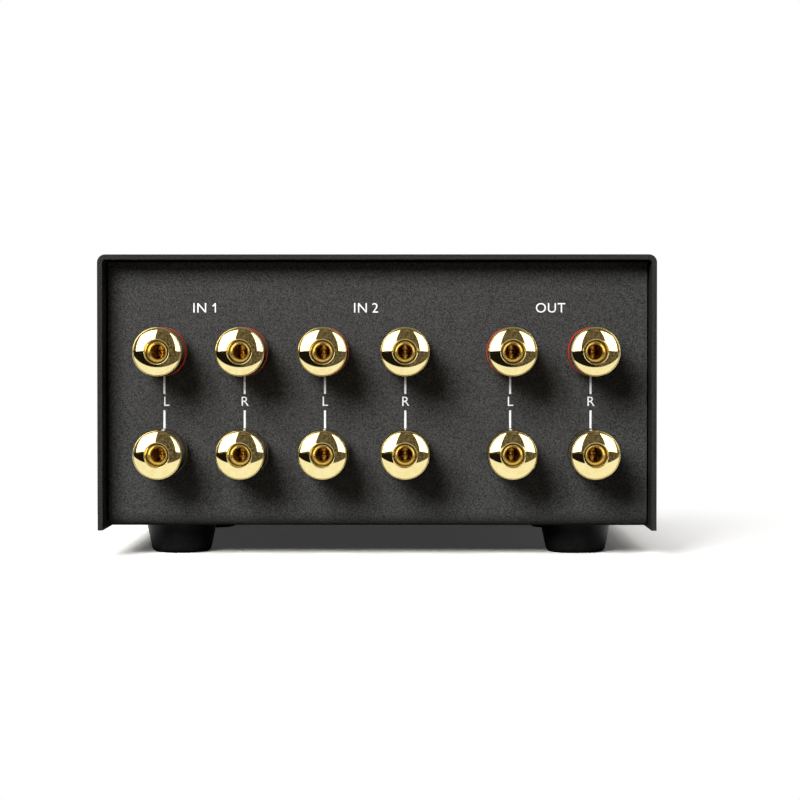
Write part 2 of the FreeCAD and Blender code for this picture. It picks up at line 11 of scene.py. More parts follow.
import bmesh
import bpy
import numpy as np
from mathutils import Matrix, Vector


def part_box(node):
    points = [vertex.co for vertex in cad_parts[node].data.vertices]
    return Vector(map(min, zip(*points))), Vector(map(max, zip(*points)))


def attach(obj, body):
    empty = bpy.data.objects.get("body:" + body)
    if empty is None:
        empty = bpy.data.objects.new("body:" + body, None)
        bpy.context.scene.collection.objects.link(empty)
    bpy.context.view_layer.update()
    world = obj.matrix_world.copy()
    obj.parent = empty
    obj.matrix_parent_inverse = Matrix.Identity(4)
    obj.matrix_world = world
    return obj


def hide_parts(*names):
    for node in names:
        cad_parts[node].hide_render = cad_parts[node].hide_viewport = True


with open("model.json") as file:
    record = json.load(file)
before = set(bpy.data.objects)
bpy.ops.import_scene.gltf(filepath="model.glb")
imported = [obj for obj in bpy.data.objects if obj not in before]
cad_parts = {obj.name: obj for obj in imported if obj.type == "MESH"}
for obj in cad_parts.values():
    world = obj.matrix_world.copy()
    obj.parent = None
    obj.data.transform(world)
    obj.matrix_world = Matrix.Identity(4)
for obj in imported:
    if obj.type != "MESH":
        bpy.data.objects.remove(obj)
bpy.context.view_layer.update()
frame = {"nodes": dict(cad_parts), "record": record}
nodes = frame["nodes"]
MM = 0.001

# %% [markdown]
# ## Where things are
#
# The CAD nodes say where each piece sits. Places could be typed in as numbers,
# but they are read from the nodes, so a change of the model carries over. A
# post is found from its ring and its cap, and the case from its panel.

# %% Places read from the nodes
body_of_node = {}
for body_name, members in frame["record"]["behaviour"]["bodies"].items():
    for member in members:
        body_of_node[member] = body_name

slot_of_node = {}
for subpart in frame["record"]["subparts"]:
    slot_of_node[subpart["node"]] = subpart["material_slot"]

post_names = sorted(n[len("cap_"):] for n in nodes if n.startswith("cap_"))


def middle(node):
    """Middle of a node's box, in metres."""
    low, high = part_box(node)
    return (low + high) / 2


panel_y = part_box("chassis")[1].y
fascia_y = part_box("front_fascia")[0].y
knob_axis = middle("selector_knob")
print("posts", len(post_names), "panel at", round(panel_y, 4))

# %% [markdown]
# ## Surfaces on a grid
#
# Turned parts are all one idea: a profile carried round an axis. A Screw
# modifier could do it, but with whole arrays the ribs of a cap come from the
# same formula. The points form a grid, rows along the profile and columns
# round the axis, and the faces join neighbours. Corners of a profile are
# rounded first, since no real edge is sharp enough to show no light.

# %% Profiles
SHOULDER = 0.25     # share of a corner's radius from the arc's end to one more point


def rounded(corners, steps=4):
    """Profile with arcs at its corners. A corner is (r, h, radius); the arc
    is a quadratic curve from one tangent point to the other, and one more point
    before and after it keeps the flats between two corners truly flat, which
    polished metal would show."""
    corners = np.array(corners, float)
    before = np.roll(corners, 1, axis=0)
    after = np.roll(corners, -1, axis=0)
    out = []
    for a, b, c in zip(before, corners, after):
        if b[2] <= 0:
            out.append(b[:2])
            continue
        to_a = (a[:2] - b[:2]) / np.linalg.norm(a[:2] - b[:2])
        to_c = (c[:2] - b[:2]) / np.linalg.norm(c[:2] - b[:2])
        start, end = b[:2] + to_a * b[2], b[:2] + to_c * b[2]
        t = np.linspace(0, 1, steps)[:, None]
        out.append(start + to_a * b[2] * SHOULDER)
        out.extend((1 - t) ** 2 * start + 2 * t * (1 - t) * b[:2] + t**2 * end)
        out.append(end + to_c * b[2] * SHOULDER)
    return np.array(out)


print("a square with rounded corners has", len(rounded([(1, 0, 0.1), (2, 0, 0.1), (2, 1, 0.1),
                                                        (1, 1, 0.1)])), "points")


# %% Faces of a grid
def grid_faces(rows, columns, loop):
    """Four-cornered faces of a grid whose columns close, and rows too if loop."""
    r = np.arange(rows if loop else rows - 1)[:, None]
    c = np.arange(columns)[None, :]
    r1, c1 = (r + 1) % rows, (c + 1) % columns
    quads = np.stack([r * columns + c, r1 * columns + c, r1 * columns + c1, r * columns + c1],
                     axis=-1)
    return quads.reshape(-1, 4)


print("faces of a 3 by 8 grid", len(grid_faces(3, 8, False)))


# %% Turned surfaces
def turned(profile, centre, axis="Y", columns=96, depth=None, ribs=0, loop=True):
    """Points and faces of a profile (r, h) turned round an axis.
    x = cx + r cos a, z = cz + r sin a, y = h, and for axis Z the y and z swap.
    depth, one per row, cuts ribs: r falls by depth (1 - |cos(ribs a / 2)|)."""
    angle = np.linspace(0, 2 * math.pi, columns, endpoint=False)
    radius = np.repeat(profile[:, :1], columns, axis=1)
    if depth is not None:
        radius = radius - depth[:, None] * (1 - np.abs(np.cos(ribs * angle / 2)))
    height = np.repeat(profile[:, 1:2], columns, axis=1)
    across, along = radius * np.cos(angle), radius * np.sin(angle)
    faces = grid_faces(len(profile), columns, loop)
    if axis == "Y":
        points = np.stack([centre[0] + across, height, centre[2] + along], axis=-1)
    else:
        points = np.stack([centre[0] + across, centre[1] + along, height], axis=-1)
        faces = faces[:, ::-1]
    return points.reshape(-1, 3), faces


washer = turned(np.array([(1.0, 0.0), (2.0, 0.0), (2.0, 0.5), (1.0, 0.5)]), (0, 0, 0))
print("a plain washer has", len(washer[0]), "points and", len(washer[1]), "faces")


# %% Several surfaces, and a cube
def joined(parts):
    """Several (points, faces) pairs as one."""
    offset, points, faces = 0, [], []
    for p, f in parts:
        points.append(p)
        faces.append(f + offset)
        offset += len(p)
    return np.concatenate(points), np.concatenate(faces)


CUBE = np.array([(i, j, k) for i in (0, 1) for j in (0, 1) for k in (0, 1)])
CUBE_FACES = np.array([(0, 1, 3, 2), (4, 6, 7, 5), (0, 4, 5, 1), (2, 3, 7, 6), (0, 2, 6, 4),
                       (1, 5, 7, 3)])
print("two washers have", len(joined([washer, washer])[0]), "points, a cube", len(CUBE))

# %% [markdown]
# ## Pieces
#
# A piece is a mesh that stands for one or more CAD nodes. It rides on their
# body, so it moves with the joints, and it keeps their material slot. Its
# place is in its mesh and its object stays at the origin, as the nodes' do.

# %% Make a piece
SAME_PLACE = 1e-7       # metres between points that are one


def weld(mesh):
    """Points in one place become one, which closes poles and seams."""
    work = bmesh.new()
    work.from_mesh(mesh)
    bmesh.ops.remove_doubles(work, verts=work.verts, dist=SAME_PLACE)
    work.to_mesh(mesh)
    work.free()


def new_object(name, mesh):
    """Object for a mesh, in the scene."""
    obj = bpy.data.objects.new(name, mesh)
    bpy.context.collection.objects.link(obj)
    return obj


def smooth(mesh):
    """Every face shades smoothly."""
    mesh.polygons.foreach_set("use_smooth", np.ones(len(mesh.polygons), bool))


def piece(name, points, faces, node, sharp=40):
    """Mesh object that stands for a CAD node and rides with it. Edges that turn
    by more than sharp degrees stay crisp."""
    mesh = bpy.data.meshes.new(name)
    mesh.from_pydata(points.tolist(), [], faces.tolist())
    weld(mesh)
    smooth(mesh)
    mesh.set_sharp_from_angle(angle=math.radians(sharp))
    obj = new_object(name, mesh)
    mesh.materials.append(finishes[slot_of_node[node]])
    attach(obj, body_of_node[node])
    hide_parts(node)
    return obj


print("points closer than", SAME_PLACE, "m become one")

# %% [markdown]
# ## Grain, brushing and turning marks
#
# Three patterns cover every surface here. Powder coat and moulded plastic are
# grainy, anodised and rolled metal is brushed along one direction, and turned
# metal has rings round its axis. Image textures could show them, but noise on
# the piece's own coordinates has no seam and no end. Each pattern is a node
# group with its own inputs, so one serves many finishes with other values.


# %% Nodes that every group uses
def new_group(name, scale):
    """Shader group with Vector and Scale coming in, and Grain and Broad going
    out. Returns the group and the two incoming values."""
    group = bpy.data.node_groups.new(name, "ShaderNodeTree")
    sockets = group.interface
    sockets.new_socket("Vector", in_out="INPUT", socket_type="NodeSocketVector")
    size = sockets.new_socket("Scale", in_out="INPUT", socket_type="NodeSocketFloat")
    size.default_value = scale
    for label in ("Grain", "Broad"):
        sockets.new_socket(label, in_out="OUTPUT", socket_type="NodeSocketFloat")
    enter = group.nodes.new("NodeGroupInput")
    return group, enter.outputs["Vector"], enter.outputs["Scale"]


def give(group, grain, broad):
    """The group with its two values carried to its outputs."""
    leave = group.nodes.new("NodeGroupOutput")
    group.links.new(grain, leave.inputs["Grain"])
    group.links.new(broad, leave.inputs["Broad"])
    return group


def noise(tree, vector, scale, detail=3.0, roughness=0.6):
    """Noise texture; scale may be a number or an output to link."""
    node = tree.nodes.new("ShaderNodeTexNoise")
    node.inputs["Detail"].default_value = detail
    node.inputs["Roughness"].default_value = roughness
    tree.links.new(vector, node.inputs["Vector"])
    if isinstance(scale, (int, float)):
        node.inputs["Scale"].default_value = scale
    else:
        tree.links.new(scale, node.inputs["Scale"])
    return node.outputs["Fac"]


def sums(tree, operation, a, b):
    """Math node on two values, each a number or an output."""
    node = tree.nodes.new("ShaderNodeMath")
    node.operation = operation
    for socket, value in zip(node.inputs, (a, b)):
        if isinstance(value, (int, float)):
            socket.default_value = value
        else:
            tree.links.new(value, socket)
    return node.outputs[0]


# %% Pattern groups
GRAIN_FROM, GRAIN_GAIN = 0.35, 3.2      # noise below the first is 0; the rest is stretched
BROAD_SHARE = 0.012                     # scale of the mottling over that of the pebbles
SQUEEZE = 0.01                          # how far brushed lines are drawn out along X


def grain_group(name="grain", mottling=1.0):
    """Fine pebbles over slow mottling: Grain is fine noise sharpened, Broad is
    noise a hundredth as fine, drawn in towards its middle for an even coat."""
    group, place, scale = new_group(name, 1800.0)
    fine = noise(group, place, scale, 2.0, 0.5)
    sharp = sums(group, "MULTIPLY", sums(group, "SUBTRACT", fine, GRAIN_FROM), GRAIN_GAIN)
    clamped = sums(group, "MAXIMUM", sums(group, "MINIMUM", sharp, 1.0), 0.0)
    broad = noise(group, place, sums(group, "MULTIPLY", scale, BROAD_SHARE), 3.0, 0.6)
    evened = sums(group, "ADD", sums(group, "MULTIPLY", broad, mottling), 0.5 * (1 - mottling))
    return give(group, clamped, evened)


def brushed_group():
    """Long fine lines: noise on coordinates squeezed along X."""
    group, place, scale = new_group("brushed", 2500.0)
    squeeze = group.nodes.new("ShaderNodeMapping")
    squeeze.inputs["Scale"].default_value = (SQUEEZE, 1.0, 1.0)
    group.links.new(place, squeeze.inputs["Vector"])
    lines = noise(group, squeeze.outputs["Vector"], scale, 3.0, 0.7)
    return give(group, lines, noise(group, place, 30.0, 2.0, 0.5))


def turned_group():
    """Rings round the Y axis: noise on the distance from it alone."""
    group, place, scale = new_group("turned", 2500.0)
    flat = group.nodes.new("ShaderNodeVectorMath")
    flat.operation = "MULTIPLY"
    flat.inputs[1].default_value = (1.0, 0.0, 1.0)
    group.links.new(place, flat.inputs[0])
    length = group.nodes.new("ShaderNodeVectorMath")
    length.operation = "LENGTH"
    group.links.new(flat.outputs["Vector"], length.inputs[0])
    ring = group.nodes.new("ShaderNodeCombineXYZ")
    group.links.new(length.outputs["Value"], ring.inputs["X"])
    lines = noise(group, ring.outputs["Vector"], scale, 3.0, 0.7)
    return give(group, lines, noise(group, place, 60.0, 2.0, 0.5))


patterns = {"grain": grain_group(), "powder": grain_group("powder", 0.15),
            "brushed": brushed_group(), "turned": turned_group()}
print("patterns", list(patterns))

# %% [markdown]
# ## Finishes
#
# One row per finish: two colours that the pattern blends, how metallic and how
# rough it is, how far the roughness wanders, and how deep the pattern stands.
# Each could be a material built by hand, but a table shows at a glance how the
# finishes differ. The constant values go straight onto the shader.

# %% One finish
BLEND_GAIN = 1.6        # Grain times Broad is about a quarter, and this lifts it


def ramp(tree, value, low, high):
    """Value 0 to 1 carried to low to high."""
    node = tree.nodes.new("ShaderNodeMapRange")
    tree.links.new(value, node.inputs["Value"])
    node.inputs["To Min"].default_value = low
    node.inputs["To Max"].default_value = high
    return node.outputs["Result"]


def make_finish(name, pattern, dark, light, metallic, rough, spread, scale, bump, centre=None,
                specular=0.5):
    """Principled material whose colour, roughness and bump follow a pattern."""
    material = bpy.data.materials.new(name)
    material.use_nodes = True
    tree = material.node_tree
    shader = tree.nodes["Principled BSDF"]
    shader.inputs["Metallic"].default_value = metallic
    shader.inputs["Specular IOR Level"].default_value = specular
    place = tree.nodes.new("ShaderNodeTexCoord").outputs["Object"]
    if centre is not None:
        mapping = tree.nodes.new("ShaderNodeMapping")
        mapping.inputs["Location"].default_value = [-c for c in centre]
        tree.links.new(place, mapping.inputs["Vector"])
        place = mapping.outputs["Vector"]
    marks = tree.nodes.new("ShaderNodeGroup")
    marks.node_tree = patterns[pattern]
    marks.inputs["Scale"].default_value = scale
    tree.links.new(place, marks.inputs["Vector"])
    blend = tree.nodes.new("ShaderNodeMix")
    blend.data_type = "RGBA"
    blend.inputs["A"].default_value = (*dark, 1)
    blend.inputs["B"].default_value = (*light, 1)
    amount = sums(tree, "MULTIPLY", marks.outputs["Grain"], marks.outputs["Broad"])
    tree.links.new(sums(tree, "MULTIPLY", amount, BLEND_GAIN), blend.inputs["Factor"])
    tree.links.new(blend.outputs["Result"], shader.inputs["Base Color"])
    tree.links.new(ramp(tree, marks.outputs["Broad"], rough - spread, rough + spread),
                   shader.inputs["Roughness"])
    relief = tree.nodes.new("ShaderNodeBump")
    relief.inputs["Strength"].default_value = 1.0
    relief.inputs["Distance"].default_value = bump * MM
    tree.links.new(marks.outputs["Grain"], relief.inputs["Height"])
    tree.links.new(relief.outputs["Normal"], shader.inputs["Normal"])
    return material


def grey(value):
    """A faintly cool grey."""
    return (value, value, value * 1.03)


def warm(value):
    """A faintly warm grey."""
    return (value, value, value * 0.98)


print("a middle grey", grey(0.2), "and a warm one", warm(0.2))

# %% All finishes
finish_rows = {
    # name: pattern, dark, light, metallic, rough, spread, scale, bump mm, centre, specular
    "cover_black": ("powder", warm(0.005), warm(0.046), 0.0, 0.48, 0.05, 3200, 0.10, None, 0.06),
    "panel_black": ("powder", warm(0.016), warm(0.075), 0.0, 0.50, 0.05, 3200, 0.09, None, 0.06),
    "fascia_black": ("brushed", grey(0.012), grey(0.030), 0.6, 0.36, 0.06, 2600, 0.004),
    "black_screw": ("grain", grey(0.015), grey(0.05), 0.8, 0.38, 0.05, 900, 0.005),
    "foot_rubber": ("grain", grey(0.004), grey(0.010), 0.0, 0.40, 0.05, 1200, 0.01, None, 0.35),
    "zinc_steel": ("brushed", grey(0.45), grey(0.7), 1.0, 0.3, 0.08, 1800, 0.004),
    "gold_stud": ("grain", (0.86, 0.58, 0.17), (0.97, 0.75, 0.30), 1.0, 0.20, 0.05, 900, 0.003),
    "gold_cap": ("grain", (0.93, 0.78, 0.36), (0.98, 0.85, 0.43), 1.0, 0.06, 0.02, 500, 0.0008),
    "black_nylon": ("grain", grey(0.012), grey(0.028), 0.0, 0.45, 0.06, 900, 0.01),
    "ring_red": ("grain", (0.60, 0.007, 0.005), (0.78, 0.014, 0.008), 0.0, 0.42, 0.05, 600, 0.004,
                 None, 0.2),
    "ring_black": ("grain", grey(0.010), grey(0.02), 0.0, 0.3, 0.05, 600, 0.004),
    "board_green": ("grain", (0.012, 0.09, 0.04), (0.02, 0.15, 0.07), 0.0, 0.35, 0.05, 300, 0.004),
    "silver_contact": ("grain", grey(0.65), grey(0.85), 1.0, 0.2, 0.05, 500, 0.002),
    "switch_grey": ("grain", grey(0.20), grey(0.28), 0.0, 0.45, 0.05, 700, 0.01),
    "spring_steel": ("brushed", grey(0.45), grey(0.6), 1.0, 0.25, 0.05, 1500, 0.002),
    "nickel": ("turned", grey(0.55), grey(0.72), 1.0, 0.2, 0.05, 1800, 0.002, knob_axis),
    "rod_steel": ("brushed", grey(0.5), grey(0.65), 1.0, 0.28, 0.05, 1800, 0.003),
    "rotor_white": ("grain", grey(0.6), grey(0.75), 0.0, 0.4, 0.05, 700, 0.005),
    "knob_black": ("turned", grey(0.010), grey(0.030), 0.6, 0.32, 0.05, 3000, 0.004, knob_axis),
    "mark_white": ("grain", grey(0.62), grey(0.78), 0.0, 0.45, 0.05, 1500, 0.004),
}
finishes = {}
for finish_name, row in finish_rows.items():
    finishes[finish_name] = make_finish(finish_name, *row)
print("finishes", len(finishes))

# %% Give the CAD nodes their finishes
for node_name, node in nodes.items():
    for material_slot in node.material_slots:
        material_slot.material = finishes[slot_of_node[node_name]]
print("dressed", len(nodes), "nodes")

# %% [markdown]
# ## Folded steel and machined plates
#
# The cover, chassis, front plate and screws have the right form already, and
# could be left as they are. But real sheet has edges that are broken by a file
# or rounded by paint, so each is copied, its flat faces are merged, and a fine
# bevel goes round every edge. The chassis's rear bend is folded round a wider
# tool than the model's, which shows as a slow fall of light along its foot.

# %% The rear bend
BEND_R, BEND_GROW = 2.4 * MM, 2.0 * MM      # outside radius, and what is added to it
TOUCH = 1e-6                                # metres by which a point may miss a plane


def widen_bend(mesh):
    """The chassis's rear bend made rounder: its points move out from the bend's
    centre as the centre moves in, so both flats stay flat."""
    floor_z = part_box("chassis")[0].z
    co = np.zeros(len(mesh.vertices) * 3)
    mesh.vertices.foreach_get("co", co)
    co = co.reshape(-1, 3)
    y, z = co[:, 1] - (panel_y - BEND_R), co[:, 2] - (floor_z + BEND_R)
    bend = (y > -TOUCH) & (z < TOUCH)
    y, z = y[bend], z[bend]
    stretch = 1 + BEND_GROW / np.hypot(y, z)
    co[bend, 1] = panel_y - BEND_R - BEND_GROW + y * stretch
    co[bend, 2] = floor_z + BEND_R + BEND_GROW + z * stretch
    mesh.vertices.foreach_set("co", co.ravel())
    mesh.update()
    print("bend points moved", int(bend.sum()))


# %% Soft-edged copies
CAD_CORNER = 1e-6                   # metres between corners of neighbouring triangles
SAME_FLAT = math.radians(0.5)       # faces that turn by less are one flat
EDGE_TURN = math.radians(35)        # edges that turn by more get a bevel


def soften(node, width):
    """Copy of a CAD node with merged flats and bevelled edges, width in mm."""
    mesh = nodes[node].data.copy()
    work = bmesh.new()
    work.from_mesh(mesh)
    bmesh.ops.remove_doubles(work, verts=work.verts, dist=CAD_CORNER)
    bmesh.ops.dissolve_limit(work, angle_limit=SAME_FLAT, verts=work.verts, edges=work.edges)
    work.to_mesh(mesh)
    work.free()
    if node == "chassis":
        widen_bend(mesh)
    smooth(mesh)
    obj = new_object(f"{node}_soft", mesh)
    bevel = obj.modifiers.new("edges", "BEVEL")
    bevel.width, bevel.segments = width * MM, 3
    bevel.limit_method, bevel.angle_limit = "ANGLE", EDGE_TURN
    level = obj.modifiers.new("flats", "WEIGHTED_NORMAL")   # large faces shade flat
    level.mode, level.weight = "FACE_AREA", 50
    mesh.materials.clear()
    mesh.materials.append(finishes[slot_of_node[node]])
    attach(obj, body_of_node[node])
    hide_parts(node)


edge_widths = {"top_cover": 0.3, "chassis": 0.15, "front_fascia": 0.15, "cover_screws": 0.2,
               "foot_washers": 0.1, "foot_screws": 0.15, "post_studs": 0.12}
for node_name, width in edge_widths.items():
    soften(node_name, width)
print("softened", len(edge_widths))

# %% [markdown]
# ## Screw caps
#
# Each cap is turned from brass: a barrel with fine straight ribs, a groove,
# a high dome and a countersunk mouth. The dome is part of a ball, because a
# mirror finish would show every departure from one. The ribs could be cut with
# booleans, but a wave in the radius gives them with clean quads. They run out
# at both ends of the barrel, so the depth is given per row of the grid.

# %% Cap profile, in millimetres
low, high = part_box(f"cap_{post_names[0]}")
CAP = (high.y - low.y) / MM
cap_profile_corners = [
    # radius, height above the cap's back, corner radius; the dome comes after
    (3.05, 0.0, 0.0), (6.85, 0.0, 0.0), (7.25, 0.4, 0.12), (7.25, CAP - 2.15, 0.12),
    (7.02, CAP - 1.85, 0.08), (6.92, CAP - 1.97, 0.04), (6.86, CAP - 1.95, 0.03),
]
DOME_R, DOME_EDGE, DOME_MOUTH = 11.0, 6.84, 3.83    # the ball, the dome's two ends
DOME_TOP = 0.05                                     # the dome's end below the lip's crest


def dome(steps=26):
    """Part of a ball whose centre is on the axis: r = DOME_R sin a and h falls
    as DOME_R cos a, from the edge to the mouth."""
    a = np.linspace(math.asin(DOME_EDGE / DOME_R), math.asin(DOME_MOUTH / DOME_R), steps)
    fall = DOME_R * (math.cos(a[-1]) - np.cos(a))
    return np.stack([DOME_R * np.sin(a), CAP - DOME_TOP - fall], axis=-1)


# radius and height from the cap's crest, down the countersink and the bore
lip = np.array([(3.78, -0.025), (3.73, -0.005), (3.67, 0.0), (3.60, -0.03), (3.55, -0.10),
                (3.12, -0.85), (3.05, -1.0), (3.05, -CAP / 2)]) + np.array([0, CAP])
cap_profile = np.concatenate([rounded(cap_profile_corners), dome(), lip])
print("cap", round(CAP, 2), "mm long,", len(cap_profile), "profile points")

# %% Twelve caps
RIBS, RIB_POINTS = 56, 6            # ribs round a barrel, and grid columns in each
RIB_FULL_R, RIB_HALF_R = 7.2, 7.1   # rows wider than these have full and half ribs
RIB_DEPTH = 0.06
profile_r = cap_profile[:, 0]
rib_depth = np.where(profile_r > RIB_HALF_R, RIB_DEPTH / 2, 0.0)
rib_depth[profile_r > RIB_FULL_R] = RIB_DEPTH


def make_cap(post):
    """One cap, turned round its own post's axis."""
    node = f"cap_{post}"
    profile = cap_profile * MM + np.array([0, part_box(node)[0].y])
    points, faces = turned(profile, middle(node), columns=RIBS * RIB_POINTS,
                           depth=rib_depth * MM, ribs=RIBS)
    return piece(f"screw_cap_{post}", points, faces, node, sharp=50)


caps = [make_cap(post) for post in post_names]
print("caps", len(caps), "faces each", len(caps[0].data.polygons))

# %% [markdown]
# ## Coloured rings and insulators
#
# A moulded ring behind each cap says which row carries the plus side, and the
# flange under it is nylon. A cylinder with a bevel would do, but the profile
# rounds the face's edges alone and leaves the bore as it is.

# %% Rings and flanges
RING_BORE, RING_EDGE = 3.1, 0.5     # mm: bore's radius, roundness of the outer edges
RING_SHY = 0.15                     # mm that the moulding stays inside its node


def make_ring(post):
    """One ring, turned round its own post's axis."""
    node = f"ring_{post}"
    low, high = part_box(node)
    outer = (high.x - low.x) / 2 / MM - RING_SHY
    deep = (high.y - low.y) / MM
    profile = rounded([(RING_BORE, 0, 0.1), (outer, 0, RING_EDGE), (outer, deep, RING_EDGE),
                       (RING_BORE, deep, 0.1)], 6)
    profile = profile * MM + np.array([0, low.y])
    return piece(f"colour_ring_{post}", *turned(profile, middle(node), columns=128), node)


rings = [make_ring(post) for post in post_names]

flange = rounded([
    # radius, height above the panel, corner radius, all in mm
    (3.05, -1.5, 0.05), (4.0, -1.5, 0.15), (4.0, 0.0, 0.02), (7.0, 0.0, 0.1),
    (6.8, 3.0, 0.5), (3.05, 3.0, 0.1)], 5) * MM + np.array([0, panel_y])
flanges = joined([turned(flange, middle(f"cap_{post}"), columns=96) for post in post_names])
piece("post_flanges", *flanges, "post_insulators")
print("rings", len(rings))

# %% [markdown]
# ## Feet
#
# Tapered rubber feet with a rounded lower edge and a well for the screw. They
# are moulded, so they are turned profiles too, with a large radius below.


# %% Four feet
def make_foot(node):
    """One foot, turned round its own upright axis."""
    low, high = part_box(node)
    top, tall = (high.x - low.x) / 2 / MM, (high.z - low.z) / MM
    corners = [
        # radius, height above the floor, corner radius: the well, then the outside
        (2.15, tall, 0.0), (2.15, 4.5, 0.1), (5.0, 4.5, 0.3), (5.0, 0.0, 0.3),
        (8.85, 0.0, 1.5), (top, tall, 0.25)]
    profile = rounded(corners, 8) * MM
    return piece(f"rubber_{node}", *turned(profile, middle(node), axis="Z", columns=128), node)


foot_names = sorted(n for n in nodes if n.startswith("foot_") and n.count("_") == 2)
feet = [make_foot(node) for node in foot_names]
print("feet", len(feet))

# %% [markdown]
# ## Knob and pointer
#
# The knob is the one piece a hand meets: a plain skirt, a fluted grip and a
# dished face with turning marks, and a white bar let into the face. The flutes
# come from the same wave as a cap's ribs. The hole for its set screw crosses
# the grid, so it is cut out afterwards with a boolean.

# %% Knob
low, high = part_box("selector_knob")
front, deep = low.y, (high.y - low.y) / MM
dish = (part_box("knob_pointer")[0].y - front) / MM
grip_end = deep - 3.0
knob_outline = rounded([
    # radius, depth behind the front, corner radius
    (0.0, dish, 0.0), (14.5, dish, 0.12), (14.6, 0.0, 0.1), (17.8, 0.0, 0.15),
    (19.0, 1.2, 0.2), (19.0, grip_end - 0.2, 0.12), (18.7, grip_end, 0.0),
    (19.0, grip_end + 0.2, 0.12), (19.0, deep, 0.3), (3.05, deep, 0.1), (3.05, 6.0, 0.0),
    (0.0, 6.0, 0.0)], 6)
FLUTES, FLUTE_POINTS, FLUTE_DEPTH = 36, 12, 0.5
GRIP_R, GRIP_START = 18.9, 1.3      # the grip is wider and starts deeper than these
outline_r, outline_h = knob_outline[:, 0], knob_outline[:, 1]
on_grip = (outline_r > GRIP_R) & (outline_h > GRIP_START) & (outline_h < grip_end - 0.1)
flute = np.where(on_grip, FLUTE_DEPTH, 0.0)
knob = piece("knob_grip",
             *turned(knob_outline * MM + np.array([0, front]), knob_axis,
                     columns=FLUTES * FLUTE_POINTS, depth=flute * MM, ribs=FLUTES, loop=False),
             "selector_knob", sharp=45)
print("knob", round(deep, 2), "mm deep,", int(on_grip.sum()), "fluted rows")


# %% Hole for the set screw
def final_mesh(obj):
    """New mesh of an object as it is with its modifiers, or of a text."""
    bpy.context.view_layer.update()
    return bpy.data.meshes.new_from_object(
        obj.evaluated_get(bpy.context.evaluated_depsgraph_get()))


def cut(obj, points, faces):
    """Takes a closed shape out of an object, for good."""
    tool_mesh = bpy.data.meshes.new("cutter")
    tool_mesh.from_pydata(points.tolist(), [], faces.tolist())
    weld(tool_mesh)
    tool = new_object("cutter", tool_mesh)
    step = obj.modifiers.new("hole", "BOOLEAN")
    step.operation, step.solver, step.object = "DIFFERENCE", "EXACT", tool
    done = final_mesh(obj)
    obj.modifiers.clear()
    obj.data = done
    bpy.data.objects.remove(tool)


HOLE_R, HOLE_FROM = 2.05 * MM, 25 * MM      # radius, and how far from the axis it starts
screw_place = middle("knob_set_screw")
hole = np.array([(0.0, knob_axis.z - HOLE_FROM), (HOLE_R, knob_axis.z - HOLE_FROM),
                 (HOLE_R, knob_axis.z), (0.0, knob_axis.z)])
cut(knob, *turned(hole, screw_place, axis="Z", columns=48, loop=False))
print("knob with its hole", len(knob.data.polygons), "faces")

# %% Pointer
POINTER_RISE = 0.2 * MM     # the bar stands this far out of the dished face
low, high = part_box("knob_pointer")
bar_low = np.array([low.x, low.y - POINTER_RISE, low.z])
bar_high = np.array([high.x, high.y, high.z])
pointer = piece("pointer_bar", bar_low + CUBE * (bar_high - bar_low), CUBE_FACES, "knob_pointer")
bevel = pointer.modifiers.new("edges", "BEVEL")
bevel.width, bevel.segments = 0.2 * MM, 4
print("pointer", round((high.z - low.z) / MM, 1), "mm long")

# %% [markdown]
# ## Printed marks
#
# Screen print is a thin film of paint. It could be an image on the panel, but
# a film with its own thickness stays sharp from near by. The letters are text
# curves turned to mesh and set to a height in millimetres, and the lines
# between the posts are the same film.

# %% Letters
FILM = 0.04 * MM            # half of the film's thickness, since it is sunk by half
LETTER_SPACING = 1.08


def lettering(text, height, centre, base, face_y, side):
    """Points and faces of text on a wall that faces +Y (side 1) or -Y (side -1).
    Letters run to the reader's right, so x is mirrored on the rear wall."""
    curve = bpy.data.curves.new("letters", "FONT")
    curve.body, curve.extrude, curve.space_character = text, 0.1, LETTER_SPACING
    curve.align_x = "CENTER"
    source = new_object("letters", curve)
    mesh = final_mesh(source)
    co = np.zeros(len(mesh.vertices) * 3)
    mesh.vertices.foreach_get("co", co)
    co = co.reshape(-1, 3)
    foot = co[:, 1].min()
    scale = height * MM / (co[:, 1].max() - foot)
    points = np.stack([centre - side * co[:, 0] * scale,
                       face_y + side * np.where(co[:, 2] > 0, FILM, -FILM),
                       base + (co[:, 1] - foot) * scale], axis=-1)
    bpy.data.objects.remove(source)
    return points, [list(face.vertices) for face in mesh.polygons]


print("film", round(2 * FILM / MM, 3), "mm thick")


# %% A plain 1
def numeral_one(height, centre, base, face_y, side):
    """A plain 1 with a flag, as one outline given the film's thickness."""
    outline = np.array([(0.05, 0.70), (0.13, 0.62), (0.30, 0.75), (0.30, 0.0), (0.43, 0.0),
                        (0.43, 1.0), (0.31, 1.0)]) * height * MM
    count = len(outline)
    across = centre - side * (outline[:, 0] - 0.27 * height * MM)
    points = np.array([(x, face_y + y, base + z) for y in (FILM, -FILM)
                       for x, z in zip(across, outline[:, 1])])
    ends = [list(range(count)), list(range(2 * count - 1, count - 1, -1))]
    sides = [[k, k + count, (k + 1) % count + count, (k + 1) % count] for k in range(count)]
    return points, ends + sides


print("the 1 has", len(numeral_one(1, 0, 0, 0, 1)[1]), "faces")

# %% Lines
LINE_HALF = 0.3 * MM        # half of a line's width


